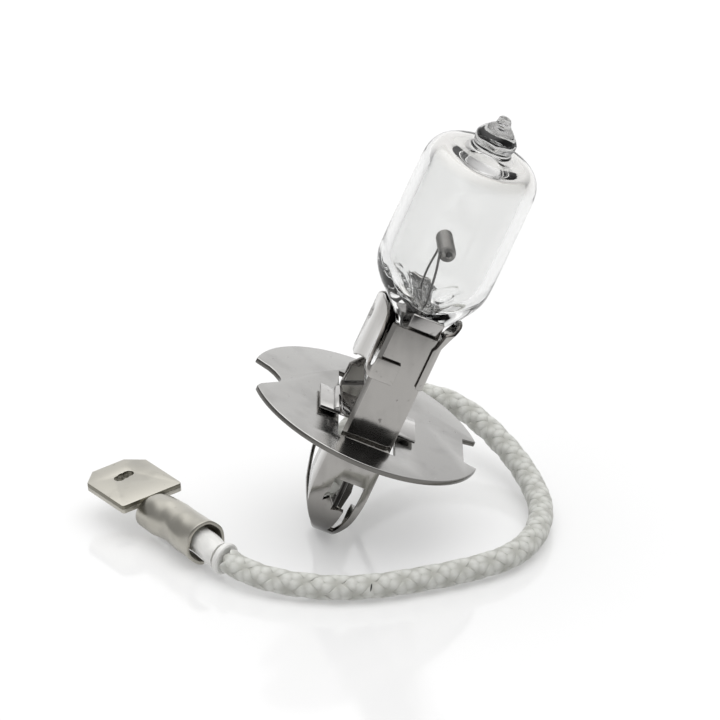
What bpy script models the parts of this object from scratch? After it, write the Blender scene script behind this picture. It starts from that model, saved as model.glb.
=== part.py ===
# Headlight bulb with a notched 22 mm flange, a U-loop holder and a sleeved lead ending in a blade terminal.
# Sizes are in millimetres in the bulb's own frame and become metres on the way out.
# Bulb frame: origin on the axis at the flange's glass-side face, +Z towards the glass tip, -Y the front.
import math

import bmesh
import bpy
from mathutils import Matrix, Vector

MM = 0.001
LEAN_DEG = 23.2
FLOOR_Z = -11.0

FLANGE_R = 11.0
FLANGE_T = 0.5
SLOT_X = 5.4
SLOT_Y = 13.6
GLASS_R = 5.38
GLASS_WALL = 1.0
SHOULDER_Z = 24.9
TIP_Z = 31.0
PINCH_X = 1.6
PINCH_Y = 4.9
PINCH_BASE_Z = 2.6
FILAMENT_Z = 17.8
FILAMENT_LENGTH = 4.3
FILAMENT_R = 0.77
FILAMENT_WIRE_R = 0.12
FILAMENT_TURNS = 12
FILAMENT_YAW_DEG = 4.0
LEAD_Y = 2.1
STRAP_FACE = 6.2
STRAP_T = 0.4
STRAP_HALF = 2.3
STRAP_TOP_Z = 11.4
LOOP_CENTRE_Z = -5.4
LOOP_DEPTH = 6.35
LOOP_HALF_LEFT = 2.8
SHELL_T = 0.3
SHELL_GAP = 0.3
BRACKET_T = 0.3
BRACKET_LOW = (-4.7, -3.4)
BRACKET_HIGH = (4.45, 1.2)
LEAD_CORD_R = 1.2
BLADE_WIDTH = 6.3
BLADE_LENGTH = 7.4
BLADE_T = 0.8
BLADE_CHAMFER = 1.45
BARREL_R = 1.95
BARREL_BORE_R = 1.6
BARREL_DROP = 1.5
BARREL_END = 15.9
TERMINAL_TIP = (-23.38, 4.9, -7.49)
TERMINAL_HEADING_DEG = -55.8
TERMINAL_ROLL_DEG = 6.2

for old in list(bpy.data.objects):
    bpy.data.objects.remove(old, do_unlink=True)

LEAN = Matrix.Rotation(math.radians(LEAN_DEG), 4, "Y")


def material(name, colour, metallic=0.0, roughness=0.4, transmission=0.0):
    m = bpy.data.materials.new(name)
    m.use_nodes = True
    p = m.node_tree.nodes["Principled BSDF"]
    p.inputs["Base Color"].default_value = (*colour, 1.0)
    p.inputs["Metallic"].default_value = metallic
    p.inputs["Roughness"].default_value = roughness
    p.inputs["Transmission Weight"].default_value = transmission
    return m


def terminal_frame():
    """Axes of the terminal: along towards the wire, across, and up, with its origin at the blade's tip edge."""
    h, r = math.radians(TERMINAL_HEADING_DEG), math.radians(TERMINAL_ROLL_DEG)
    along = Vector((math.cos(h), math.sin(h), 0.0))
    level = Vector((0, 0, 1)).cross(along)
    across = level * math.cos(r) + Vector((0, 0, 1)) * math.sin(r)
    up = along.cross(across)
    m = Matrix((along, across, up)).transposed().to_4x4()
    m.translation = Vector(TERMINAL_TIP)
    return m


TERMINAL = terminal_frame()
GROUND = Matrix.Identity(4)


def add_mesh(name, points, faces, mat, frame, smooth_deg=None):
    """A mesh object whose points, in millimetres in the given frame, are stored in world metres."""
    mesh = bpy.data.meshes.new(name)
    mesh.from_pydata([tuple((frame @ Vector(p)) * MM) for p in points], [], faces)
    bm = bmesh.new()
    bm.from_mesh(mesh)
    bmesh.ops.recalc_face_normals(bm, faces=bm.faces)
    if smooth_deg is not None:
        limit = math.radians(smooth_deg)
        for f in bm.faces:
            f.smooth = True
        for e in bm.edges:
            e.smooth = len(e.link_faces) == 2 and e.calc_face_angle(0.0) < limit
    bm.to_mesh(mesh)
    bm.free()
    ob = bpy.data.objects.new(name, mesh)
    bpy.context.collection.objects.link(ob)
    if mat:
        mesh.materials.append(mat)
    return ob


def add_wire(name, points, radius, mat, frame, sides=2):
    """A round solid wire along the points, closed at both ends."""
    curve = bpy.data.curves.new(name, "CURVE")
    curve.dimensions = "3D"
    curve.bevel_depth = radius * MM
    curve.bevel_resolution = sides
    curve.use_fill_caps = True
    line = curve.splines.new("POLY")
    line.points.add(len(points) - 1)
    for spot, p in zip(line.points, points):
        spot.co = (*((frame @ Vector(p)) * MM), 1.0)
    line.use_smooth = True
    ob = bpy.data.objects.new(name, curve)
    bpy.context.collection.objects.link(ob)
    curve.materials.append(mat)
    return ob


def smooth_route(knots, step):
    """Evenly spaced points on a Catmull-Rom curve through the knots."""
    pts = [Vector(k) for k in knots]
    ends = [pts[0] * 2 - pts[1]] + pts + [pts[-1] * 2 - pts[-2]]
    fine = []
    for i in range(1, len(ends) - 2):
        a, b, c, d = ends[i - 1 : i + 3]
        for k in range(24):
            t = k / 24
            fine.append(
                0.5 * (2 * b + (c - a) * t + (2 * a - 5 * b + 4 * c - d) * t * t
                       + (3 * b - a - 3 * c + d) * t * t * t)
            )
    fine.append(pts[-1])
    total = sum((q - p).length for p, q in zip(fine, fine[1:]))
    count = max(2, round(total / step))
    out, gone, want = [fine[0]], 0.0, total / count
    for p, q in zip(fine, fine[1:]):
        piece = (q - p).length
        while gone + piece >= want - 1e-9 and len(out) < count:
            out.append(p.lerp(q, (want - gone) / piece))
            want += total / count
        gone += piece
    out.append(fine[-1])
    return out


def cutter(name, low, high, frame):
    """A hidden box that a Boolean takes away."""
    (x0, y0, z0), (x1, y1, z1) = low, high
    points = [(x, y, z) for x in (x0, x1) for y in (y0, y1) for z in (z0, z1)]
    faces = [(0, 1, 3, 2), (4, 6, 7, 5), (0, 4, 5, 1), (2, 3, 7, 6), (0, 2, 6, 4), (1, 5, 7, 3)]
    ob = add_mesh(name, points, faces, None, frame)
    ob.hide_render = True
    ob.display_type = "WIRE"
    return ob


def round_cutter(name, centre, radius, low, high, frame, sides=24):
    """A hidden upright cylinder that a Boolean takes away."""
    ring = [(centre[0] + radius * math.cos(2 * math.pi * i / sides),
             centre[1] + radius * math.sin(2 * math.pi * i / sides)) for i in range(sides)]
    points = [(x, y, low) for x, y in ring] + [(x, y, high) for x, y in ring]
    faces = [tuple(reversed(range(sides))), tuple(range(sides, 2 * sides))]
    faces += [(i, (i + 1) % sides, sides + (i + 1) % sides, sides + i) for i in range(sides)]
    ob = add_mesh(name, points, faces, None, frame)
    ob.hide_render = True
    ob.display_type = "WIRE"
    return ob


def boolean(ob, other, operation="DIFFERENCE"):
    m = ob.modifiers.new(other.name, "BOOLEAN")
    m.operation = operation
    m.object = other
    m.solver = "EXACT"


def prism(outline, low, high):
    """Points and faces of an outline in XY stretched from low to high."""
    n = len(outline)
    points = [(x, y, low) for x, y in outline] + [(x, y, high) for x, y in outline]
    faces = [tuple(reversed(range(n))), tuple(range(n, 2 * n))]
    faces += [(i, (i + 1) % n, n + (i + 1) % n, n + i) for i in range(n)]
    return points, faces


def loft(sections, cap=True):
    """Points and faces through closed rings with equal point counts."""
    n = len(sections[0])
    points = [p for ring in sections for p in ring]
    faces = []
    for k in range(len(sections) - 1):
        for i in range(n):
            j = (i + 1) % n
            faces.append((k * n + i, k * n + j, (k + 1) * n + j, (k + 1) * n + i))
    if cap:
        faces.append(tuple(reversed(range(n))))
        faces.append(tuple(range((len(sections) - 1) * n, len(sections) * n)))
    return points, faces


def sheet_solid(outer, inner, keep):
    """A closed solid from two matching grids of points. keep(row, column) says which cells are metal."""
    rows, cols = len(outer), len(outer[0])
    points, index, faces, edges = [], {}, [], {}

    def vert(side, r, c):
        key = (side, r, c)
        if key not in index:
            index[key] = len(points)
            points.append((outer if side == 0 else inner)[r][c])
        return index[key]

    for r in range(rows - 1):
        for c in range(cols - 1):
            if not keep(r, c):
                continue
            corners = [(r, c), (r, c + 1), (r + 1, c + 1), (r + 1, c)]
            faces.append(tuple(vert(0, *k) for k in corners))
            faces.append(tuple(vert(1, *k) for k in reversed(corners)))
            for a, b in zip(corners, corners[1:] + corners[:1]):
                key = tuple(sorted((a, b)))
                edges[key] = None if key in edges else (a, b)
    for pair in edges.values():
        if pair:
            a, b = pair
            faces.append((vert(0, *b), vert(0, *a), vert(1, *a), vert(1, *b)))
    return points, faces


# ---- glass -------------------------------------------------------------------------------------


def oval_ring(z, half_x, half_y, power, count=40, shift_x=0.0):
    """A ring of the rounded-rectangle family: power 2 is an ellipse, higher is squarer."""
    ring = []
    for i in range(count):
        a = 2 * math.pi * (i + 0.5) / count
        c, s = math.cos(a), math.sin(a)
        ring.append((shift_x + half_x * math.copysign(abs(c) ** (2 / power), c),
                     half_y * math.copysign(abs(s) ** (2 / power), s), z))
    return ring


def glass_envelope(mat):
    """Tube, shoulder, sealed-off exhaust tip and flattened pinch, hollow inside with a slot per foil."""
    r = GLASS_R
    sections = [
        oval_ring(PINCH_BASE_Z, PINCH_X - 0.1, PINCH_Y - 0.1, 5),
        oval_ring(PINCH_BASE_Z + 0.2, PINCH_X, PINCH_Y, 5),
        oval_ring(10.2, PINCH_X, PINCH_Y, 5),
        oval_ring(10.9, 1.85, PINCH_Y, 4),
        oval_ring(11.5, 2.5, 4.95, 3.2),
        oval_ring(12.2, 3.5, 5.0, 2.6),
        oval_ring(12.9, 4.3, 5.1, 2.3),
        oval_ring(13.7, 4.95, 5.25, 2.1),
        oval_ring(14.5, 5.28, 5.35, 2),
        oval_ring(15.3, r, r, 2),
        oval_ring(20.0, r, r, 2),
        oval_ring(SHOULDER_Z, r, r, 2),
        oval_ring(25.7, 5.27, 5.27, 2),
        oval_ring(26.4, 4.95, 4.95, 2),
        oval_ring(26.95, 4.4, 4.4, 2),
        oval_ring(27.3, 3.7, 3.7, 2),
        oval_ring(27.45, 2.9, 2.9, 2),
        oval_ring(27.6, 2.1, 2.1, 2),
        oval_ring(27.85, 1.75, 1.75, 2),
        oval_ring(28.3, 1.95, 1.95, 2, shift_x=-0.02),
        oval_ring(28.8, 1.93, 1.93, 2, shift_x=-0.06),
        oval_ring(29.4, 1.6, 1.6, 2, shift_x=-0.14),
        oval_ring(29.9, 1.05, 1.05, 2, shift_x=-0.24),
        oval_ring(30.2, 0.68, 0.68, 2, shift_x=-0.3),
        oval_ring(30.5, 0.58, 0.58, 2, shift_x=-0.35),
        oval_ring(30.8, 0.48, 0.48, 2, shift_x=-0.38),
        oval_ring(TIP_Z, 0.2, 0.2, 2, shift_x=-0.4),
    ]
    glass = add_mesh("glass_envelope", *loft(sections), mat, LEAN, smooth_deg=40)
    i = r - GLASS_WALL
    hollow = [
        oval_ring(12.5, 0.9, 3.2, 2.4),
        oval_ring(12.9, 2.0, 3.8, 2.2),
        oval_ring(13.7, 3.4, 4.1, 2),
        oval_ring(14.6, 4.15, 4.3, 2),
        oval_ring(15.4, i, i, 2),
        oval_ring(20.0, i, i, 2),
        oval_ring(24.8, i, i, 2),
        oval_ring(25.5, 4.1, 4.1, 2),
        oval_ring(26.0, 3.4, 3.4, 2),
        oval_ring(26.3, 2.2, 2.2, 2),
        oval_ring(26.4, 0.8, 0.8, 2),
    ]
    room = add_mesh("envelope_room_cut", *loft(hollow), None, LEAN)
    room.hide_render = True
    room.display_type = "WIRE"
    boolean(glass, room)
    for side, name in ((-1, "front"), (1, "rear")):
        y = side * LEAD_Y
        boolean(glass, cutter("foil_slot_cut_" + name, (-0.42, y - 1.1, 2.0), (0.42, y + 1.1, 13.4), LEAN))
    return glass


# ---- light source and seal ---------------------------------------------------------------------


def filament_coil(mat):
    """One transverse coil, its axis close to the front-to-back direction."""
    yaw = Matrix.Rotation(math.radians(FILAMENT_YAW_DEG), 3, "Z")
    steps = FILAMENT_TURNS * 12
    points = []
    for k in range(steps + 1):
        a = 2 * math.pi * k / 12
        p = Vector((-(FILAMENT_R - FILAMENT_WIRE_R) * math.cos(a),
                    FILAMENT_LENGTH * (k / steps - 0.5),
                    (FILAMENT_R - FILAMENT_WIRE_R) * math.sin(a)))
        points.append(yaw @ p + Vector((0, 0, FILAMENT_Z)))
    return add_wire("filament_coil", points, FILAMENT_WIRE_R, mat, LEAN, sides=1)


def inner_lead(name, side, mat):
    """A straight support wire from the seal up to one end of the coil, hooked beside it."""
    y = side * LEAD_Y
    x = -1.15
    points = [(0.0, y, 9.9), (0.0, y, 12.0), (-0.3, y, 13.4), (x + 0.15, y, 16.2), (x, y, 17.2), (x, y, 18.0)]
    if side < 0:
        points = [(0.0, y, 9.9), (0.0, y, 12.0), (-0.25, y, 13.4), (-0.75, y, 15.6), (x + 0.1, y, 16.7),
                  (x, y, 17.6)]
    return add_wire(name, points, 0.12, mat, LEAN)


def seal_foil(name, side, mat):
    y = side * LEAD_Y
    low, high = (-0.05, y - 0.75, 4.4), (0.05, y + 0.75, 9.4)
    points = [(x, yy, z) for x in (low[0], high[0]) for yy in (low[1], high[1]) for z in (low[2], high[2])]
    faces = [(0, 1, 3, 2), (4, 6, 7, 5), (0, 4, 5, 1), (2, 3, 7, 6), (0, 2, 6, 4), (1, 5, 7, 3)]
    return add_mesh(name, points, faces, mat, LEAN)


def outer_leads(mat):
    """The live lead runs down through the flange. The ground lead bends across to the bracket's rib."""
    live = [(0.0, -LEAD_Y, 3.9), (0.0, -LEAD_Y, 1.6), (0.1, -2.5, 0.6), (0.35, -3.0, -0.8), (0.4, -3.1, -2.0),
            (0.4, -3.1, -6.5), (0.4, -3.0, -8.95)]
    add_wire("outer_lead_live", smooth_route(live, 0.6), 0.25, mat, LEAN)
    ground = [(0.0, LEAD_Y, 3.9), (0.0, LEAD_Y, 2.9), (-0.3, 2.0, 2.3), (-1.2, 1.5, 1.95), (-2.3, 0.95, 1.75),
              (-3.1, 0.5, 1.7)]
    add_wire("outer_lead_ground", smooth_route(ground, 0.5), 0.22, mat, LEAN)


def hollow_sleeve(name, start, end, outer_r, bore_r, mat, frame, sides=24):
    """A straight tube between two points, open at both ends."""
    a, b = Vector(start), Vector(end)
    axis = (b - a).normalized()
    u = axis.orthogonal().normalized()
    v = axis.cross(u)
    rings = []
    for centre, radius in ((a, outer_r), (b, outer_r), (b, bore_r), (a, bore_r)):
        rings.append([tuple(centre + (u * math.cos(t) + v * math.sin(t)) * radius)
                      for t in (2 * math.pi * k / sides for k in range(sides))])
    points = [p for ring in rings for p in ring]
    faces = []
    for k in range(4):
        n = (k + 1) % 4
        for i in range(sides):
            j = (i + 1) % sides
            faces.append((k * sides + i, k * sides + j, n * sides + j, n * sides + i))
    return add_mesh(name, points, faces, mat, frame, smooth_deg=40)


# ---- holder --------------------------------------------------------------------------------------


def loop_widths(angle_deg):
    """How far the strap reaches left and right of the axis, by angle from the loop's lowest point, front positive."""
    front = ((0, 0.5, 1.3), (20, 0.4, 1.3), (30, 0.5, 1.34), (40, 0.9, 1.46), (50, 1.5, 1.68), (60, 2.0, 1.95),
             (70, 2.5, 2.1), (80, 2.7, 2.2), (90, LOOP_HALF_LEFT, STRAP_HALF))
    rear = ((0, 0.5, 1.3), (20, 1.0, 1.5), (45, 1.74, 1.8), (70, 2.2, 2.2), (90, 2.3, 2.3))
    table = front if angle_deg >= 0 else rear
    a = abs(angle_deg)
    for (a0, l0, r0), (a1, l1, r1) in zip(table, table[1:]):
        if a <= a1:
            f = (a - a0) / (a1 - a0)
            return l0 + (l1 - l0) * f, r0 + (r1 - r0) * f
    return table[-1][1:]


def holder_strap(mat):
    """One sheet strip: down the front of the pinch, through the flange, round the loop and up the back."""
    ro, ri = STRAP_FACE, STRAP_FACE - STRAP_T
    do, di = LOOP_DEPTH, LOOP_DEPTH - STRAP_T
    full = (STRAP_HALF, STRAP_HALF)
    path = []
    for z, reach in ((STRAP_TOP_Z, full), (8.0, full), (4.0, full), (0.0, full), (-1.5, full),
                     (-1.9, (LOOP_HALF_LEFT, STRAP_HALF)), (-4.3, (LOOP_HALF_LEFT, STRAP_HALF))):
        path.append(((-ro, z), (-ri, z), reach))
    for angle in (-90, -81, -72, -63, -54, -45, -35, -25, -15, -5, 5, 15, 25, 35, 45, 54, 63, 72, 81, 90):
        t = math.radians(angle)
        s, c = math.sin(t), math.cos(t)
        path.append(((ro * s, LOOP_CENTRE_Z - do * c), (ri * s, LOOP_CENTRE_Z - di * c), loop_widths(-angle)))
    for z, half in ((-4.3, STRAP_HALF), (-2.2, STRAP_HALF), (0.0, STRAP_HALF), (1.4, STRAP_HALF),
                    (2.6, 1.3), (7.0, 1.3), (STRAP_TOP_Z - 0.6, 1.3)):
        path.append(((ro, z), (ri, z), (half, half)))
    outer, inner = [], []
    for (yo, zo), (yi, zi), (reach_left, reach_right) in path:
        left, right = (-1.2, 0.95) if yo < 0 else (-2.0, 2.0)
        left, right = max(left, 0.3 - reach_left), min(right, reach_right - 0.3)
        columns = (-reach_left, left, 0.5 * (left + right), right, reach_right)
        outer.append([(x, yo, zo) for x in columns])
        inner.append([(x, yi, zi) for x in columns])
    front = range(6, 9)
    rear = range(len(path) - 12, len(path) - 6)
    strap = add_mesh("holder_strap", *sheet_solid(outer, inner, lambda r, c: not (
        c in (1, 2) and (r in front or r in rear))), mat, LEAN, smooth_deg=30)
    x0, x1 = -LOOP_HALF_LEFT + 0.01, -LOOP_HALF_LEFT + STRAP_T
    side = [(x, y, z) for x in (x0, x1) for y, z in ((-6.0, -2.1), (-1.2, -2.1), (-1.1, -6.9), (-5.95, -7.0))]
    faces = [(0, 1, 2, 3), (7, 6, 5, 4), (0, 4, 5, 1), (1, 5, 6, 2), (2, 6, 7, 3), (3, 7, 4, 0)]
    wall = add_mesh("strap_side_join", side, faces, None, LEAN)
    boolean(strap, wall, "UNION")
    wall.hide_render = True
    wall.display_type = "WIRE"
    return strap


def clamp_shell(mat):
    """Sheet wrapped round the sides and back of the pinch, its front edges folded over the strap."""
    side, back = STRAP_HALF + SHELL_GAP, STRAP_FACE + SHELL_GAP
    t = SHELL_T
    columns = [
        ((-0.2, -back), (0, -1), 6.0, 8.1), ((-1.2, -back), (0, -1), 6.0, 8.1),
        ((-2.2, -back), (0, -1), 6.0, 8.1), ((-2.5, -back + 0.1), (-0.71, -0.71), 6.1, 7.6),
        ((-side, -back + 0.4), (-1, 0), 6.3, 6.9), ((-side, -5.5), (-1, 0), 6.4, 7.0),
        ((-side, -4.8), (-1, 0), 6.5, 7.8), ((-side, -4.0), (-1, 0), 6.4, 9.0),
        ((-side, -3.2), (-1, 0), 6.1, 10.1), ((-side, -2.4), (-1, 0), 5.8, 10.6),
        ((-side, -1.0), (-1, 0), 5.3, 10.7), ((-side, 0.7), (-1, 0), 4.7, 10.6),
        ((-side, 2.8), (-1, 0), 3.6, 10.2), ((-side, back - 1.8), (-1, 0), 3.4, 9.4),
        ((-side + 0.3, back - 0.8), (-0.92, 0.39), 3.4, 9.0), ((-side + 0.85, back - 0.25), (-0.39, 0.92), 3.4, 9.0),
        ((-side + 1.4, back), (0, 1), 3.4, 9.0), ((side - 1.4, back), (0, 1), 3.4, 9.0),
        ((side - 0.85, back - 0.25), (0.39, 0.92), 3.4, 9.0), ((side - 0.3, back - 0.8), (0.92, 0.39), 3.4, 9.0),
        ((side, back - 1.8), (1, 0), 3.5, 9.2), ((side, 2.8), (1, 0), 3.9, 10.6),
        ((side, 0.5), (1, 0), 4.6, 11.0), ((side, -1.6), (1, 0), 5.2, 11.4),
        ((side, -3.6), (1, 0), 5.8, 12.0), ((side, -3.85), (1, 0), 6.0, 12.5),
        ((side, -4.2), (1, 0), 6.1, 13.0), ((side, -4.7), (1, 0), 6.3, 13.3),
        ((side, -5.2), (1, 0), 6.4, 13.2), ((side, -5.6), (1, 0), 6.5, 12.6),
        ((side, -back + 0.4), (1, 0), 6.5, 10.5), ((2.5, -back + 0.1), (0.71, -0.71), 6.5, 10.5),
        ((2.2, -back), (0, -1), 6.5, 10.5), ((1.85, -back), (0, -1), 6.5, 10.5),
    ]
    outer, inner = [], []
    for k in range(5):
        row_out, row_in = [], []
        for (x, y), (nx, ny), z0, z1 in columns:
            z = z0 + (z1 - z0) * k / 4
            flare = 0.25 * max(0.0, z - 10.6) if x > 0 else 0.0
            row_out.append((x + nx * t + flare, y + ny * t, z))
            row_in.append((x + flare, y, z))
        outer.append(row_out)
        inner.append(row_in)
    return add_mesh("clamp_shell", *sheet_solid(outer, inner, lambda r, c: True), mat, LEAN, smooth_deg=35)


def plate(name, low, high, mat, frame):
    (x0, y0, z0), (x1, y1, z1) = low, high
    points, faces = prism([(x0, y0), (x1, y0), (x1, y1), (x0, y1)], z0, z1)
    return add_mesh(name, points, faces, mat, frame)


def pinch_springs(mat):
    """Thin strips that pad the pinch's narrow edges. The front one stands above the strap."""
    y0 = PINCH_Y + 0.3
    plate("pinch_spring_front", (-0.95, -y0 - 0.3, 4.6), (2.0, -y0, 12.7), mat, LEAN)
    plate("pinch_spring_rear", (-1.5, y0, 4.6), (1.5, y0 + 0.3, 11.2), mat, LEAN)


def cross_bracket(mat):
    """Flat bar across the flange with a raised rib for the ground lead and a hole for the live lead."""
    (x0, y0), (x1, y1) = BRACKET_LOW, BRACKET_HIGH
    z0, z1 = 0.3, 0.3 + BRACKET_T
    rib_x, rib_r = -3.05, 0.42
    profile = [(x0, z0), (x1, z0), (x1, z1), (rib_x + rib_r, z1)]
    profile += [(rib_x + rib_r * math.cos(a), z1 + rib_r * math.sin(a))
                for a in (math.pi * k / 8 for k in range(1, 8))]
    profile += [(rib_x - rib_r, z1), (x0, z1)]
    n = len(profile)
    points = [(x, y0, z) for x, z in profile] + [(x, y1, z) for x, z in profile]
    faces = [tuple(range(n)), tuple(reversed(range(n, 2 * n)))]
    faces += [(i, n + i, n + (i + 1) % n, (i + 1) % n) for i in range(n)]
    bar = add_mesh("cross_bracket", points, faces, mat, LEAN, smooth_deg=30)
    boolean(bar, round_cutter("live_lead_hole_cut", (0.08, -2.35), 1.0, -0.5, 1.5, LEAN))
    return bar


def flange_disc(mat):
    """22 mm disc with a hooked notch on one side, a square notch on the other and one long slot."""
    r = FLANGE_R
    right = [(10.65, -2.76), (10.0, -2.62), (9.44, -2.37), (9.36, 0.8), (9.35, 2.35), (10.37, 2.68)]
    left = [(-10.66, 2.7), (-10.1, 2.35), (-9.41, 1.95), (-8.85, 1.35), (-8.42, 0.6), (-8.3, 0.1),
            (-8.42, -0.45), (-8.7, -0.78), (-9.5, -1.6), (-10.2, -2.35), (-10.55, -3.1)]
    outline = list(right)
    a0, a1 = math.atan2(right[-1][1], right[-1][0]), math.atan2(left[0][1], left[0][0])
    outline += [(r * math.cos(a), r * math.sin(a)) for a in (a0 + (a1 - a0) * k / 48 for k in range(0, 49))]
    outline += left
    a0, a1 = math.atan2(left[-1][1], left[-1][0]) + 2 * math.pi, math.atan2(right[0][1], right[0][0]) + 2 * math.pi
    outline += [(r * math.cos(a), r * math.sin(a)) for a in (a0 + (a1 - a0) * k / 48 for k in range(0, 49))]
    clean = [outline[0]]
    for p in outline[1:]:
        if math.dist(p, clean[-1]) > 0.05:
            clean.append(p)
    if math.dist(clean[0], clean[-1]) < 0.05:
        clean.pop()
    points, faces = prism(clean, -FLANGE_T, 0.0)
    disc = add_mesh("flange_disc", points, faces, mat, LEAN, smooth_deg=30)
    half_x, half_y = SLOT_X / 2, SLOT_Y / 2
    boolean(disc, cutter("holder_slot_cut", (-half_x, -half_y, -1), (half_x, half_y, 0.5), LEAN))
    return disc


# ---- lead ----------------------------------------------------------------------------------------


def world_of(p):
    return LEAN @ Vector(p)


def lead_parts(braid, wire, collar, metal):
    """The sleeved lead lies on the surface the loop stands on, from the loop round to the terminal."""
    hollow_sleeve("splice_ferrule", (0.4, -3.0, -8.7), (0.4, -2.5, -10.1), 0.8, 0.55, metal, LEAN)
    inside = [(0.4, -2.8, -9.3), (0.4, -2.45, -10.3), (0.36, -1.8, -10.75), (0.25, -0.9, -10.6), (0.12, -0.2, -10.0),
              (0.04, 0.35, -9.1)]
    add_wire("wire_end_lamp", smooth_route(inside, 0.4), 0.25, wire, LEAN, sides=2)
    first = world_of((0.0, 0.9, -8.4))
    knots = [
        first, world_of((-0.05, 3.2, -7.3)), world_of((-0.05, 6.2, -6.85)),
        (-1.6, 9.9, -6.3), (0.2, 13.6, -5.9), (2.8, 16.9, -5.9), (5.3, 17.7, -6.3), (7.8, 17.0, -6.8),
        (10.3, 14.9, -7.6), (13.1, 10.5, -8.75), (15.0, 5.4, -9.65), (15.66, 0.4, -9.98), (14.82, -4.8, -10.0),
        (12.5, -8.85, -10.0), (8.75, -11.5, -10.0), (4.3, -13.5, -10.0), (0.6, -14.7, -10.0),
        (-3.33, -15.0, -10.0), (-7.69, -13.95, -9.9), (-10.6, -12.3, -9.7), (-12.1, -10.9, -9.45),
    ]
    add_wire("braided_sleeve", smooth_route(knots, 1.4), LEAD_CORD_R, braid, GROUND, sides=2)
    end, before = Vector(knots[-1]), Vector(knots[-2])
    way = (end - before).normalized()
    mouth = TERMINAL @ Vector((BARREL_END, 0, -BARREL_DROP))
    into = (TERMINAL.to_3x3() @ Vector((-1, 0, 0))).normalized()
    ring_at = end + way * 0.65
    add_disc("sleeve_collar", ring_at - way * 0.3, ring_at + way * 0.3, 1.5, collar)
    stub = [ring_at + way * 0.6, ring_at + way * 1.1, mouth, mouth + into * 3.2]
    add_wire("wire_end_terminal", smooth_route(stub, 0.5), 1.25, wire, GROUND, sides=3)


def add_disc(name, a, b, radius, mat, sides=24):
    """A short solid cylinder with a rounded edge between two points."""
    axis = (b - a).normalized()
    u = axis.orthogonal().normalized()
    v = axis.cross(u)
    rings = []
    for f, r in ((0.0, radius - 0.18), (0.15, radius - 0.05), (0.5, radius), (0.85, radius - 0.05),
                 (1.0, radius - 0.18)):
        c = a.lerp(b, f)
        rings.append([tuple(c + (u * math.cos(t) + v * math.sin(t)) * r)
                      for t in (2 * math.pi * k / sides for k in range(sides))])
    return add_mesh(name, *loft(rings), mat, GROUND, smooth_deg=40)


def spade_terminal(mat):
    """Folded blade with chamfered corners and a two-lobed hole, its tail rolled into a crimp barrel."""
    w, c, n = BLADE_WIDTH / 2, BLADE_CHAMFER, BLADE_LENGTH
    outline = [(c, -w), (n, -w), (n, -1.45), (n + 1.3, -1.45), (n + 1.3, 1.45), (n, 1.45), (n, w), (c, w),
               (0, w - c), (0, -w + c)]
    points, faces = prism(outline, -BLADE_T, 0.0)
    blade = add_mesh("spade_terminal", points, faces, mat, TERMINAL, smooth_deg=30)
    seam = math.radians(11)
    outer, inner = [], []
    steps = 32
    for k in range(steps + 1):
        a = -math.pi / 2 + seam + (2 * math.pi - 2 * seam) * k / steps
        cy, sz = math.cos(a), math.sin(a)
        outer.append([(x, BARREL_R * cy, -BARREL_DROP + BARREL_R * sz) for x in (n - 0.1, BARREL_END)])
        inner.append([(x, BARREL_BORE_R * cy, -BARREL_DROP + BARREL_BORE_R * sz) for x in (n - 0.1, BARREL_END)])
    barrel = add_mesh("barrel_add", *sheet_solid(outer, inner, lambda r, c: True), None, TERMINAL, smooth_deg=30)
    barrel.hide_render = True
    barrel.display_type = "WIRE"
    boolean(blade, barrel, "UNION")
    hole = []
    for k in range(24):
        a = 2 * math.pi * k / 24
        reach = 0.62 + 0.42 * abs(math.cos(a)) ** 1.5
        hole.append((2.6 + 0.52 * math.sin(a), 1.18 * reach / 0.9 * math.cos(a)))
    points, faces = prism(hole, -BLADE_T - 0.5, 0.5)
    cut = add_mesh("blade_hole_cut", points, faces, None, TERMINAL)
    cut.hide_render = True
    cut.display_type = "WIRE"
    boolean(blade, cut)
    return blade


steel = material("nickel_plated_steel", (0.56, 0.55, 0.53), 1.0, 0.22)
bright = material("bright_strip", (0.66, 0.65, 0.63), 1.0, 0.18)
quartz = material("quartz_glass", (0.95, 0.96, 0.97), 0.0, 0.03, 1.0)
tungsten = material("tungsten", (0.22, 0.21, 0.20), 1.0, 0.42)
moly = material("molybdenum", (0.42, 0.41, 0.40), 1.0, 0.35)
tin = material("tinned_brass", (0.58, 0.55, 0.48), 1.0, 0.30)
fibre = material("woven_fibreglass", (0.80, 0.79, 0.72), 0.0, 0.8)
rubber = material("white_insulation", (0.84, 0.83, 0.80), 0.0, 0.5)

glass_envelope(quartz)
filament_coil(tungsten)
inner_lead("inner_lead_front", -1, moly)
inner_lead("inner_lead_rear", 1, moly)
seal_foil("seal_foil_front", -1, moly)
seal_foil("seal_foil_rear", 1, moly)
outer_leads(moly)
hollow_sleeve("lead_insulator", (0.4, -3.1, -1.6), (0.4, -3.1, -4.0), 0.95, 0.62, rubber, LEAN)
holder_strap(steel)
clamp_shell(steel)
pinch_springs(bright)
cross_bracket(bright)
flange_disc(steel)
lead_parts(fibre, rubber, fibre, tin)
spade_terminal(tin)
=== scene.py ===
import math

import bmesh
import bpy
from mathutils import Matrix, Vector, noise


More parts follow.
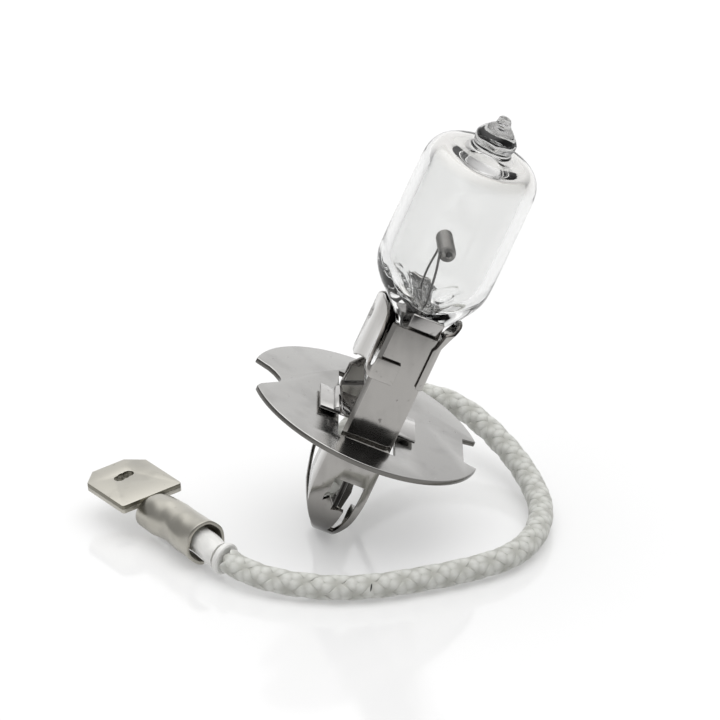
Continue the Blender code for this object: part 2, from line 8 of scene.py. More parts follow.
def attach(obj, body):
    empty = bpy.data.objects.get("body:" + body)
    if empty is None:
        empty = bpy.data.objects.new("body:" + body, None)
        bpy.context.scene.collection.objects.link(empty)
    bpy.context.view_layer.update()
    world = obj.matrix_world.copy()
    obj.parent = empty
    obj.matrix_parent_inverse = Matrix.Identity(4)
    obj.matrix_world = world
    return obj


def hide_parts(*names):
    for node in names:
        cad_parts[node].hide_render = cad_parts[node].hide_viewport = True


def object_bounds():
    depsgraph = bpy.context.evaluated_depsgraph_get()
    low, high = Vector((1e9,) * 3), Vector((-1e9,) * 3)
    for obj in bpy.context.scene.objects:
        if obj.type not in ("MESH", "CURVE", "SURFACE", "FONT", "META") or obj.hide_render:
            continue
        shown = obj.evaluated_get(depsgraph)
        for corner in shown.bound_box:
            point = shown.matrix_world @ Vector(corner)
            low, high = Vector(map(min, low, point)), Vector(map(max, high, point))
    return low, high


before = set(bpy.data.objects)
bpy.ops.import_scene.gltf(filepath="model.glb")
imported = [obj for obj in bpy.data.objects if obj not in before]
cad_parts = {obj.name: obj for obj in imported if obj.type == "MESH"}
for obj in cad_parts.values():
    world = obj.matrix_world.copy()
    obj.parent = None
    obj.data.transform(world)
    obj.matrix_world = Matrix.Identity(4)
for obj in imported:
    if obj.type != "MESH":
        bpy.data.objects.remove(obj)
cadLow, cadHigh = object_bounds()

mm = 0.001
leanAngle = math.radians(23.2)
leaned = Matrix.Rotation(leanAngle, 4, "Y")
print("frame loaded, box in mm:", [round(c * 1000, 2) for c in (*cadLow, *cadHigh)])


# camera ------------------------------------------------------------

viewSettings = {"place": (-0.61, -545.338, 250.256), "downAngle": 24.2, "lens": 336.0}


def aimCamera(s):
    data = bpy.data.cameras.new("view")
    data.sensor_width = 36.0
    data.lens = s["lens"]
    data.clip_start, data.clip_end = 0.01, 20.0
    cam = bpy.data.objects.new("view", data)
    bpy.context.collection.objects.link(cam)
    cam.location = Vector(s["place"]) * mm
    cam.rotation_euler = (math.radians(90.0 - s["downAngle"]), 0.0, 0.0)
    bpy.context.scene.camera = cam


aimCamera(viewSettings)
bpy.context.scene.view_settings.view_transform = "Standard"
print("camera aimed")


# shader sums -------------------------------------------------------



class Term:  # wraps one output socket, so sums on it add Math nodes
    def __init__(self, kit, socket):
        self.kit, self.socket = kit, socket

    def sum(self, operation, a, b=None):
        values = {0: a} if b is None else {0: a, 1: b}
        return self.kit.node("ShaderNodeMath", {"operation": operation}, values)

    def __add__(self, other):
        return self.sum("ADD", self, other)

    def __radd__(self, other):
        return self.sum("ADD", other, self)

    def __sub__(self, other):
        return self.sum("SUBTRACT", self, other)

    def __rsub__(self, other):
        return self.sum("SUBTRACT", other, self)

    def __mul__(self, other):
        return self.sum("MULTIPLY", self, other)

    def __rmul__(self, other):
        return self.sum("MULTIPLY", other, self)

    def __truediv__(self, other):
        return self.sum("DIVIDE", self, other)

    def __pow__(self, other):
        return self.sum("POWER", self, other)

    def atLeast(self, other):
        return self.sum("MAXIMUM", self, other)

    def atMost(self, other):
        return self.sum("MINIMUM", self, other)

    def sine(self):
        return self.sum("SINE", self)


class Finish:  # one material's nodes around a Principled shader, or a world's around its Background
    def __init__(self, name, world=False):
        self.material = (bpy.data.worlds if world else bpy.data.materials).new(name)
        self.material.use_nodes = True
        self.tree = self.material.node_tree
        self.shader = self.tree.nodes["Background" if world else "Principled BSDF"]

    def node(self, kind, settings=None, sockets=None, out=0):
        made = self.tree.nodes.new(kind)
        for key, value in (settings or {}).items():
            if key == "stops":
                self.setStops(made, value)
            else:
                setattr(made, key, value)
        for key, value in (sockets or {}).items():
            self.feed(made.inputs[key], value)
        return Term(self, made.outputs[out])

    def term(self, other, out):  # another output of the same node
        return Term(self, other.socket.node.outputs[out])

    def setStops(self, made, stops):
        bar = made.color_ramp.elements
        while len(bar) < len(stops):
            bar.new(1.0)
        for stop, (place, colour) in zip(bar, stops):
            stop.position = place
            stop.color = (*colour, 1.0) if hasattr(colour, "__len__") else (colour, colour, colour, 1.0)

    def feed(self, socket, value):
        if isinstance(value, Term):
            self.tree.links.new(value.socket, socket)
        elif hasattr(value, "__len__") and len(value) == 3 and socket.type == "RGBA":
            socket.default_value = (*value, 1.0)
        else:
            socket.default_value = value

    def place(self, scale=(1, 1, 1), turn=(0, 0, 0), out="Object"):
        spot = self.node("ShaderNodeTexCoord", out=out)
        return self.node("ShaderNodeMapping", {}, {"Vector": spot, "Rotation": turn, "Scale": scale})

    def grain(self, where, scale, detail=3.0, rough=0.55, warp=0.0):
        return self.node("ShaderNodeTexNoise", {}, {
            "Vector": where, "Scale": scale, "Detail": detail, "Roughness": rough, "Distortion": warp})

    def ramp(self, value, stops, out=0):
        return self.node("ShaderNodeValToRGB", {"stops": stops}, {"Fac": value}, out)

    def blend(self, amount, a, b, how="MIX"):
        made = self.tree.nodes.new("ShaderNodeMix")
        made.data_type, made.blend_type = "RGBA", how
        self.feed(made.inputs[0], amount)
        self.feed(made.inputs[6], a)
        self.feed(made.inputs[7], b)
        return Term(self, made.outputs[2])

    def bump(self, height, strength, distance, under=None):
        sockets = {"Height": height, "Strength": strength, "Distance": distance}
        if under is not None:
            sockets["Normal"] = under
        return self.node("ShaderNodeBump", {}, sockets)

    def wear(self, **sockets):
        for key, value in sockets.items():
            self.feed(self.shader.inputs[key.replace("_", " ")], value)
        return self.material


def polishedNickel(name, tone, s, cutAndShadeTone=None):
    f = Finish(name)
    turn = (0.0, -leanAngle, 0.0)
    along = f.place((1, 1, 1), turn)
    streaks = f.grain(f.place(s["streakScale"], turn), 1.0, s["streakDetail"], 0.5)
    clouds = f.grain(along, 260.0, 3.0, 0.5)
    specks = f.ramp(f.grain(along, 1900.0, 2.0, 0.5), [(0.0, 0.0), (0.68, 0.0), (0.78, 1.0)])
    shade = streaks * s["streakTone"] + clouds * s["cloudTone"] + (1.0 - 0.5 * (s["streakTone"] + s["cloudTone"]))
    dark = tuple(c * 0.72 for c in tone)
    light = tuple(min(1.0, c * 1.12) for c in tone)
    colour = f.blend(f.ramp(shade, [(0.8, 0.0), (1.2, 1.0)]), dark, light)
    colour = f.blend(specks * s["specks"], colour, (0.12, 0.11, 0.10))
    if s.get("bendShade"):  # painted shade: darker towards the lowest bend, standing in for the shadowed floor it would reflect
        parts = f.node("ShaderNodeSeparateXYZ", {}, {"Vector": along})
        low = f.ramp((f.term(parts, 2) * -1000.0 + clouds * 2.0 - 6.0) / 5.0, [(0.0, 0.0), (1.0, 1.0)])
        colour = f.blend(low * s["bendShade"], colour, (0.05, 0.048, 0.045))
    if cutAndShadeTone:  # sheared edges are bare and duller, and darkened further as painted shade so sheet edges and gaps read as dark lines
        layer = f.node("ShaderNodeVertexColor", {"layer_name": "cut"})
        cut = f.node("ShaderNodeSeparateColor", {}, {"Color": layer})
        colour = f.blend(cut, colour, cutAndShadeTone)
    rough = s["rough"] + streaks * s["roughSpread"] + specks * 0.2
    height = streaks * 0.6 + clouds * 0.4
    return f.wear(Base_Color=colour, Metallic=1.0, Roughness=rough,
                  Normal=f.bump(height, s["bump"], 0.00006))


# bendShade is painted shade on the strap's lowest bend
nickelSettings = {"streakScale": (700.0, 700.0, 50.0), "streakDetail": 2.0, "streakTone": 0.22, "cloudTone": 0.25,
                  "specks": 0.45, "rough": 0.09, "roughSpread": 0.06, "bump": 0.015, "bendShade": 0.85}
discSettings = {"streakScale": (300.0, 300.0, 300.0), "streakDetail": 3.0, "streakTone": 0.15, "cloudTone": 0.35,
                "specks": 0.35, "rough": 0.15, "roughSpread": 0.08, "bump": 0.025}
tinSettings = {"streakScale": (260.0, 260.0, 260.0), "streakDetail": 4.0, "streakTone": 0.3, "cloudTone": 0.35,
               "specks": 0.3, "rough": 0.24, "roughSpread": 0.14, "bump": 0.3}


def clearQuartz():
    f = Finish("clearQuartz")
    swirl = f.grain(f.place((1, 1, 1)), 220.0, 2.0, 0.5, 0.6)
    f.shader.inputs["Transmission Weight"].default_value = 1.0
    f.shader.inputs["IOR"].default_value = 1.458
    haze = f.ramp(f.grain(f.place((1, 1, 1)), 600.0, 3.0), [(0.3, 0.0), (0.8, 0.035)])
    tintAndShade = f.blend(swirl, (0.90, 0.903, 0.898), (0.875, 0.878, 0.874))
    parts = f.node("ShaderNodeSeparateXYZ", {}, {"Vector": f.place((1, 1, 1), (0.0, -leanAngle, 0.0))})
    height = f.term(parts, 2) * 1000.0
    # painted shade: above the shoulder the glass is tinted greyer and the tip much greyer, standing in for dark
    # surroundings seen through it
    tintAndShade = f.blend(f.ramp(height / 2.0 - 12.8, [(0.0, 0.0), (0.3, 1.0)]), tintAndShade, (0.80, 0.79, 0.77))
    tintAndShade = f.blend(f.ramp(height / 2.0 - 13.7, [(0.0, 0.0), (0.3, 1.0)]), tintAndShade, (0.50, 0.50, 0.505))
    return f.wear(Base_Color=tintAndShade, Roughness=haze, Normal=f.bump(swirl, 0.08, 0.0001))


def drawnWire(name, tone):
    f = Finish(name)
    lines = f.grain(f.place((1, 1, 1)), 2600.0, 3.0)
    return f.wear(Base_Color=f.blend(lines, tuple(c * 0.6 for c in tone), tone), Metallic=1.0,
                  Roughness=lines * 0.25 + 0.25, Normal=f.bump(lines, 0.2, 0.00003))


yarnMark = {"from": (0.443, -15.703, -9.213), "to": (0.311, -16.052, -9.921), "halfWidth": 0.085, "depth": 0.5}


def wovenYarn():
    f = Finish("wovenYarn")
    lie = f.node("ShaderNodeUVMap", {"uv_map": "yarn"})
    parts = f.node("ShaderNodeSeparateXYZ", {}, {"Vector": lie})
    across = Term(f, parts.socket.node.outputs[0])
    threads = (across * 44.0).sine() * 0.5 + 0.5
    fuzz = f.grain(f.place((1, 1, 1)), 3200.0, 4.0, 0.7)
    soil = f.grain(f.place((1, 1, 1)), 160.0, 3.0, 0.6)
    # painted shade: the depth layer darkens the yarn towards (0.45, 0.45, 0.41) at strand sides, under crossings and
    # on the core
    deep = f.node("ShaderNodeVertexColor", {"layer_name": "depth"})
    weaveShade = Term(f, f.tree.nodes.new("ShaderNodeSeparateColor").outputs[0])
    f.tree.links.new(deep.socket, weaveShade.socket.node.inputs[0])
    pale = f.blend(soil, (0.67, 0.68, 0.64), (0.79, 0.79, 0.76))
    colour = f.blend(weaveShade, (0.45, 0.45, 0.41), pale)
    colour = f.blend(threads * 0.14 + fuzz * 0.10, colour, (0.62, 0.62, 0.57))
    mark = yarnMark
    ahead = (Vector(mark["to"]) - Vector(mark["from"])) * mm
    facing = Vector((0.0, -0.91, 0.41))
    facing = (facing - ahead.normalized() * facing.dot(ahead.normalized())).normalized()
    turn = Matrix((facing.cross(ahead.normalized()), facing, ahead.normalized())).transposed().to_euler()
    spot = f.node("ShaderNodeMapping", {"vector_type": "TEXTURE"}, {
        "Vector": f.node("ShaderNodeTexCoord", out=3), "Rotation": turn,
        "Location": (Vector(mark["from"]) + Vector(mark["to"])) * 0.5 * mm,
        "Scale": (mark["halfWidth"] * mm, mark["depth"] * mm, ahead.length * 0.55)})
    inside = f.node("ShaderNodeTexGradient", {"gradient_type": "SPHERICAL"}, {"Vector": spot}, out=1)
    colour = f.blend(f.ramp(inside, [(0.0, 0.0), (0.25, 1.0)]), colour, (0.015, 0.015, 0.015))
    f.shader.inputs["Sheen Weight"].default_value = 0.25
    return f.wear(Base_Color=colour, Roughness=fuzz * 0.2 + 0.62,
                  Normal=f.bump(threads * 0.5 + fuzz * 0.7, 0.5, 0.00008))


def paleSleeving(name, tone):
    f = Finish(name)
    lumps = f.grain(f.place((1, 1, 1)), 700.0, 4.0, 0.65)
    fine = f.grain(f.place((1, 1, 1)), 3600.0, 3.0, 0.6)
    colour = f.blend(lumps, tuple(c * 0.8 for c in tone), tone)
    return f.wear(Base_Color=colour, Roughness=fine * 0.25 + 0.4,
                  Normal=f.bump(lumps * 0.7 + fine * 0.3, 0.45, 0.00012))


def paleFloor(glow):
    f = Finish("paleFloor")
    soft = f.grain(f.place((1, 1, 1)), 3.0, 2.0)
    f.shader.inputs["Emission Color"].default_value = (1.0, 1.0, 1.0, 1.0)
    f.shader.inputs["Emission Strength"].default_value = glow
    return f.wear(Base_Color=f.blend(soft, (0.53, 0.53, 0.53), (0.55, 0.55, 0.55)), Roughness=soft * 0.04 + 0.08)


# the last colour, where given, is the sheared-edge tone: bare metal, darkened further as painted shade
nickel = polishedNickel("polishedNickel", (0.36, 0.35, 0.335), nickelSettings, (0.16, 0.15, 0.14))
discNickel = polishedNickel("discNickel", (0.42, 0.415, 0.405), discSettings, (0.17, 0.165, 0.155))
stripNickel = polishedNickel("stripNickel", (0.47, 0.46, 0.45), nickelSettings)
tinPlate = polishedNickel("tinPlate", (0.43, 0.415, 0.37), tinSettings, (0.2, 0.19, 0.155))
quartz = clearQuartz()
coilTungsten = drawnWire("coilTungsten", (0.36, 0.35, 0.335))
leadMoly = drawnWire("leadMoly", (0.13, 0.125, 0.12))
yarn = wovenYarn()
whiteSleeving = paleSleeving("whiteSleeving", (0.86, 0.855, 0.83))
print("finishes mixed")


# modelling helpers -------------------------------------------------


def clearSelection():
    if bpy.context.object and bpy.context.object.mode != "OBJECT":
        bpy.ops.object.mode_set(mode="OBJECT")
    bpy.ops.object.select_all(action="DESELECT")


def takeUp(obj):
    clearSelection()
    obj.select_set(True)
    bpy.context.view_layer.objects.active = obj


def justAdded(name):
    obj = bpy.context.object
    obj.name = name
    return obj


def openMesh(obj):
    if obj.mode != "EDIT":
        takeUp(obj)
        bpy.ops.object.mode_set(mode="EDIT")
    return bmesh.from_edit_mesh(obj.data)


def pick(obj, test, kind="VERT"):  # selects by place: test gets a corner's or a face centre's x, y, z in mm
    bm = openMesh(obj)
    bpy.context.tool_settings.mesh_select_mode = (kind == "VERT", kind == "EDGE", kind == "FACE")
    bpy.ops.mesh.select_all(action="DESELECT")
    if kind == "FACE":
        for f in bm.faces:
            f.select = bool(test(*(f.calc_center_median() / mm)))
    elif kind == "EDGE":
        for e in bm.edges:
            e.select = all(test(*(v.co / mm)) for v in e.verts)
    else:
        for v in bm.verts:
            v.select = bool(test(*(v.co / mm)))
    bm.select_flush(True)
    bmesh.update_edit_mesh(obj.data)


def shift(x=0.0, y=0.0, z=0.0):
    bpy.ops.transform.translate(value=(x * mm, y * mm, z * mm))


def swell(x=1.0, y=1.0, z=1.0, about=(0, 0, 0)):
    bpy.ops.transform.resize(value=(x, y, z), center_override=tuple(c * mm for c in about))


def pull(x=0.0, y=0.0, z=0.0):
    bpy.ops.mesh.extrude_region_move(TRANSFORM_OT_translate={"value": (x * mm, y * mm, z * mm)})


def closeMesh():
    bpy.ops.object.mode_set(mode="OBJECT")


def settle(obj):
    takeUp(obj)
    for m in list(obj.modifiers):
        bpy.ops.object.modifier_apply(modifier=m.name)


def addWall(obj, thick, offset=-1.0):
    obj.data.materials.clear()
    for _ in range(2):
        obj.data.materials.append(None)
    m = obj.modifiers.new("wall", "SOLIDIFY")
    m.thickness, m.offset, m.use_even_offset = thick * mm, offset, True
    m.material_offset_rim = 1
    settle(obj)


def markCut(obj, test):  # a colour layer that is white on the sheared faces, which a finish darkens as bare metal and as painted shade
    layer = obj.data.color_attributes.new("cut", "BYTE_COLOR", "CORNER")
    for face in obj.data.polygons:
        shade = 1.0 if test(face) else 0.0
        for corner in face.loop_indices:
            layer.data[corner].color = (shade, shade, shade, 1.0)
        face.material_index = 0


def roundEdges(obj, width, steps=2, angle=35.0):
    m = obj.modifiers.new("edges", "BEVEL")
    m.width, m.segments, m.limit_method, m.angle_limit = width * mm, steps, "ANGLE", math.radians(angle)
    m.harden_normals = False
    settle(obj)


def refine(obj, levels=1):
    m = obj.modifiers.new("refine", "SUBSURF")
    m.levels = m.render_levels = levels
    settle(obj)


def carve(obj, cutter):
    m = obj.modifiers.new("carve", "BOOLEAN")
    m.object, m.operation, m.solver = cutter, "DIFFERENCE", "EXACT"
    settle(obj)
    bpy.data.objects.remove(cutter, do_unlink=True)


def put(obj, matrix):
    obj.matrix_world = matrix @ obj.matrix_world
    takeUp(obj)
    bpy.ops.object.transform_apply(location=True, rotation=True, scale=True)


def fixNormals(obj):
    takeUp(obj)
    bpy.ops.object.mode_set(mode="EDIT")
    bpy.ops.mesh.select_all(action="SELECT")
    bpy.ops.mesh.remove_doubles(threshold=0.000002)
    bpy.ops.mesh.normals_make_consistent(inside=False)
    bpy.ops.object.mode_set(mode="OBJECT")


def smooth(obj, angle=40.0):
    takeUp(obj)
    bpy.ops.object.shade_smooth_by_angle(angle=math.radians(angle))


def enter(obj, finish, slot, *nodes):
    obj.data.materials.clear()
    obj.data.polygons.foreach_set("material_index", [0] * len(obj.data.polygons))
    obj.data.materials.append(finish)
    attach(obj, "root")
    if nodes:
        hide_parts(*nodes)
    print("made", obj.name)
    return obj


def fromNode(node, name, edge, steps=2):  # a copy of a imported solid, merged, its flats cleaned and its edges rounded
    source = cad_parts[node]
    copy = bpy.data.objects.new(name, source.data.copy())
    bpy.context.collection.objects.link(copy)
    takeUp(copy)
    bpy.ops.object.mode_set(mode="EDIT")
    bpy.ops.mesh.select_all(action="SELECT")
    bpy.ops.mesh.remove_doubles(threshold=0.000003)
    bpy.ops.mesh.dissolve_limited(angle_limit=math.radians(1.5))
    bpy.ops.object.mode_set(mode="OBJECT")
    if edge:
        roundEdges(copy, edge, steps)
    smooth(copy, 35.0)
    return copy


# sleeved lead ------------------------------------------------------

leadSettings = {
    "diameter": 0.0024, "strands": 6, "pitch": 0.0084, "middle": 0.00097, "sway": 0.00006,
    "strandHalfWidth": 0.00050, "strandHalfThick": 0.00012, "step": 0.00015, "coreRadius": 0.00088,
}
leadKnots = [
    (-0.003309, 0.0009, -0.007721), (-0.002922, 0.0032, -0.006690), (-0.002744, 0.0062, -0.006276),
    (-0.0016, 0.0099, -0.0063), (0.0002, 0.0136, -0.0059), (0.0028, 0.0169, -0.0059),
    (0.0053, 0.0177, -0.0063), (0.0078, 0.0170, -0.0068), (0.0103, 0.0149, -0.0076),
    (0.0131, 0.0105, -0.00875), (0.0150, 0.0054, -0.00965), (0.01566, 0.0004, -0.00998),
    (0.01482, -0.0048, -0.01), (0.0125, -0.00885, -0.01), (0.00875, -0.0115, -0.01),
    (0.0043, -0.0135, -0.01), (0.0006, -0.0147, -0.01), (-0.00333, -0.0150, -0.01),
    (-0.00769, -0.01395, -0.0099), (-0.0106, -0.0123, -0.0097), (-0.0121, -0.0109, -0.00945),
]


def smoothRoute(knots, step):
    pts = [Vector(k) for k in knots]
    ends = [pts[0] * 2 - pts[1]] + pts + [pts[-1] * 2 - pts[-2]]
    fine = []
    for i in range(1, len(ends) - 2):
        a, b, c, d = ends[i - 1 : i + 3]
        for k in range(24):
            t = k / 24
            fine.append(0.5 * (2 * b + (c - a) * t + (2 * a - 5 * b + 4 * c - d) * t * t
                               + (3 * b - a - 3 * c + d) * t * t * t))
    fine.append(pts[-1])
    total = sum((q - p).length for p, q in zip(fine, fine[1:]))
    count = max(2, round(total / step))
    out, gone, want = [fine[0]], 0.0, total / count
    for p, q in zip(fine, fine[1:]):
        piece = (q - p).length
        while gone + piece >= want - 1e-12 and len(out) < count:
            out.append(p.lerp(q, (want - gone) / piece))
            want += total / count
        gone += piece
    out.append(fine[-1])
    return out, total


def carriedFrames(points):  # a side direction at each point that never twists
    side = Vector((0, 0, 1))
    frames = []
    for i, p in enumerate(points):
        ahead = (points[min(i + 1, len(points) - 1)] - points[max(i - 1, 0)]).normalized()
        side = (side - ahead * side.dot(ahead)).normalized()
        frames.append((p, ahead, side, ahead.cross(side)))
    return frames


def braidLead(s):
    points, total = smoothRoute(leadKnots, s["step"])
    frames = carriedFrames(points)
    bm = bmesh.new()
    uv = bm.loops.layers.uv.new("yarn")
    depth = bm.loops.layers.color.new("depth")
    sides = 8
    turns = 2 * math.pi / s["pitch"]
    for way in (1, -1):
        for strand in range(s["strands"]):
            rows = []
            for i, (p, ahead, side, over) in enumerate(frames):
                run = total * i / (len(frames) - 1)
                angle = way * (turns * run) + 2 * math.pi * (strand + (0.25 if way < 0 else 0.0)) / s["strands"]
                lift = s["sway"] * way * math.cos(s["strands"] * turns * run + math.pi * (strand % 2))
                wobble = 0.00003 * noise.noise(Vector((run * 400, strand * 7.0, way * 3.0)))
                out = side * math.cos(angle) + over * math.sin(angle)
                around = over * math.cos(angle) - side * math.sin(angle)
                spin = (s["middle"] + lift) * turns * way
                along = (ahead + around * spin).normalized()
                across = out.cross(along).normalized()
                centre = p + out * (s["middle"] + lift + wobble)
                ring = []
                for k in range(sides):
                    a = 2 * math.pi * k / sides
                    w = across * math.cos(a) * s["strandHalfWidth"]
                    bend = -0.10 * s["strandHalfWidth"] * math.cos(a) ** 2
                    ring.append((bm.verts.new(centre + w + out * (math.sin(a) * s["strandHalfThick"] + bend)), a, run,
                                 lift / s["sway"]))
                rows.append(ring)
            for r in range(len(rows) - 1):
                for k in range(sides):
                    n = (k + 1) % sides
                    corners = (rows[r][k], rows[r][n], rows[r + 1][n], rows[r + 1][k])
                    face = bm.faces.new([c[0] for c in corners])
                    face.smooth = True
                    for loop, c in zip(face.loops, corners):
                        loop[uv].uv = (math.cos(c[1]), c[2] * 500)
                        # painted shade: the level is lower where a strand passes under another and towards its sides
                        level = 0.5 + 0.35 * c[3] + 0.15 * math.sin(c[1]) - 0.25 * abs(math.cos(c[1])) ** 3
                        loop[depth] = (level, level, level, 1.0)
            bm.faces.new([c[0] for c in reversed(rows[0])])
            bm.faces.new([c[0] for c in rows[-1]])
    core = []
    for p, ahead, side, over in frames[:: 4] + [frames[-1]]:
        core.append([bm.verts.new(p + (side * math.cos(a) + over * math.sin(a)) * s["coreRadius"])
                     for a in (2 * math.pi * k / 16 for k in range(16))])
    for r in range(len(core) - 1):
        for k in range(16):
            n = (k + 1) % 16
            face = bm.faces.new((core[r][k], core[r][n], core[r + 1][n], core[r + 1][k]))
            face.smooth = True
            # painted shade: the core between the strands gets the darkest level
            for loop in face.loops:
                loop[depth] = (0.0, 0.0, 0.0, 1.0)
    bm.faces.new(list(reversed(core[0])))
    bm.faces.new(core[-1])
    bmesh.ops.recalc_face_normals(bm, faces=bm.faces)
    mesh = bpy.data.meshes.new("braidedLead")
    bm.to_mesh(mesh)
    bm.free()
    obj = bpy.data.objects.new("braidedLead", mesh)
    bpy.context.collection.objects.link(obj)
    enter(obj, yarn, "woven_fibreglass", "braided_sleeve")
    return obj, points, total


braid, leadPath, leadLength = braidLead(leadSettings)
print("lead braided, length in mm:", round(leadLength * 1000, 2))


# glass capsule -----------------------------------------------------

glassSettings = {
    "sides": 64,
    "outside": [  # height, half width across x, half width across y, squareness, lean of the tip, in mm
        (2.6, 1.45, 4.75, 5, 0), (2.8, 1.6, 4.9, 5, 0), (5.0, 1.6, 4.9, 5, 0), (7.5, 1.6, 4.9, 5, 0),
        (9.6, 1.6, 4.9, 5, 0), (10.5, 1.65, 4.9, 4.5, 0), (10.9, 1.9, 4.9, 4, 0), (11.3, 2.25, 4.92, 3.5, 0),
        (11.8, 2.9, 4.97, 3, 0), (12.3, 3.55, 5.0, 2.6, 0), (12.9, 4.25, 5.1, 2.3, 0), (13.6, 4.85, 5.22, 2.1, 0),
        (14.3, 5.2, 5.32, 2, 0), (15.0, 5.36, 5.38, 2, 0), (16.5, 5.38, 5.38, 2, 0), (19.0, 5.38, 5.38, 2, 0),
        (22.0, 5.38, 5.38, 2, 0), (24.2, 5.38, 5.38, 2, 0), (25.0, 5.36, 5.36, 2, 0), (25.7, 5.24, 5.24, 2, 0),
        (26.3, 5.0, 5.0, 2, 0), (26.8, 4.6, 4.6, 2, 0), (27.15, 4.1, 4.1, 2, 0), (27.35, 3.6, 3.6, 2, 0),
        (27.4, 3.2, 3.2, 2, 0), (27.42, 2.75, 2.75, 2, 0), (27.5, 2.3, 2.3, 2, 0), (27.65, 1.95, 1.95, 2, 0),
        (27.9, 1.78, 1.78, 2, 0), (28.15, 1.85, 1.85, 2, 0), (28.5, 1.95, 1.95, 2, 0.02),
        (28.9, 1.93, 1.93, 2, 0.03), (29.3, 1.7, 1.7, 2, 0.04), (29.7, 1.3, 1.3, 2, 0.05),
        (30.0, 0.95, 0.95, 2, 0.06), (30.2, 0.72, 0.72, 2, 0.05), (30.4, 0.64, 0.64, 2, 0.03),
        (30.65, 0.62, 0.62, 2, 0.02), (30.85, 0.5, 0.5, 2, 0.0), (30.97, 0.28, 0.28, 2, 0.0),
    ],
    "inside": [
        (12.4, 0.5, 2.6, 2.4, 0), (12.5, 1.0, 3.2, 2.4, 0), (12.8, 1.8, 3.7, 2.2, 0), (13.3, 2.8, 3.95, 2, 0),
        (13.9, 3.6, 4.15, 2, 0), (14.6, 4.15, 4.28, 2, 0), (15.4, 4.36, 4.38, 2, 0), (18.0, 4.38, 4.38, 2, 0),
        (21.0, 4.38, 4.38, 2, 0), (24.6, 4.38, 4.38, 2, 0), (25.3, 4.32, 4.32, 2, 0), (25.8, 4.1, 4.1, 2, 0),
        (26.1, 3.8, 3.8, 2, 0), (26.25, 3.45, 3.45, 2, 0), (26.3, 3.0, 3.0, 2, 0), (26.3, 2.0, 2.0, 2, 0),
        (26.35, 1.2, 1.2, 2, 0), (26.5, 0.8, 0.8, 2, 0), (26.8, 0.45, 0.45, 2, 0),
    ],
}


def risenBody(name, rows, sides):  # a filled ring drawn upwards row by row
    z, rx, ry = rows[0][:3]
    clearSelection()
    bpy.ops.mesh.primitive_circle_add(vertices=sides, radius=mm, fill_type="NGON", location=(0, 0, 0))
    obj = justAdded(name)
    openMesh(obj)
    bpy.ops.mesh.select_all(action="SELECT")
    swell(rx, ry, 1.0)
    shift(z=z)
    for (z0, rx0, ry0, _, lean0), (z1, rx1, ry1, _, lean1) in zip(rows, rows[1:]):
        pull(lean1 - lean0, 0, z1 - z0)
        swell(rx1 / rx0, ry1 / ry0, 1.0, (lean1, 0, z1))
    closeMesh()
    for v in obj.data.vertices:  # flattens the pinched rows from ovals towards rectangles
        row = min(rows, key=lambda r: abs(r[0] * mm - v.co.z))
        if row[3] != 2:
            c, s = v.co.x / (row[1] * mm), v.co.y / (row[2] * mm)
            v.co.x = row[1] * mm * math.copysign(abs(c) ** (2 / row[3]), c)
            v.co.y = row[2] * mm * math.copysign(abs(s) ** (2 / row[3]), s)
    return obj


def blowGlass(s):
    outer = risenBody("glassCapsule", s["outside"], s["sides"])
    for v in outer.data.vertices:  # the jaws leave the softened glass uneven
        z = v.co.z / mm
        soft = max(0.0, 1.0 - abs(z - 12.0) / 2.6)
        tip = max(0.0, min(1.0, z - 27.6)) * 0.5
        bump = noise.noise(Vector(v.co) * 900 + Vector((3, 1, 7)))
        v.co += Vector((v.co.x, v.co.y, 0)).normalized() * bump * (soft * 0.28 + tip * 0.14) * mm
    inner = risenBody("roomInside", s["inside"], s["sides"])
    for v in inner.data.vertices:
        z = v.co.z / mm
        soft = max(0.0, 1.0 - abs(z - 13.0) / 1.6)
        bump = noise.noise(Vector(v.co) * 1100 + Vector((9, 4, 2)))
        v.co += Vector((v.co.x * 0.5, v.co.y * 0.5, mm)).normalized() * bump * soft * 0.45 * mm
        x, y, z = v.co / mm
        mound = math.exp(-((abs(x + 0.2) - 2.5) / 0.75) ** 4 - (y / 1.7) ** 4) * max(0.0, min(1.0, 15.2 - z))
        v.co -= Vector((math.copysign(0.55, x), 0.0, -0.75)) * mound * mm
    takeUp(inner)
    bpy.ops.object.mode_set(mode="EDIT")
    bpy.ops.mesh.select_all(action="SELECT")
    bpy.ops.mesh.flip_normals()
    bpy.ops.object.mode_set(mode="OBJECT")
    outer.select_set(True)
    bpy.context.view_layer.objects.active = outer
    bpy.ops.object.join()
    refine(outer, 1)
    takeUp(outer)
    bpy.ops.object.shade_smooth()
    put(outer, leaned)
    return enter(outer, quartz, "quartz_glass", "glass_envelope")


glass = blowGlass(glassSettings)


# light source ------------------------------------------------------

coilSettings = {"turns": 17, "steps": 20, "radius": 0.66, "wire": 0.118, "length": 4.2, "height": 17.8, "yaw": 4.0,
                "endFrom": 0.84, "endShrink": 0.72}


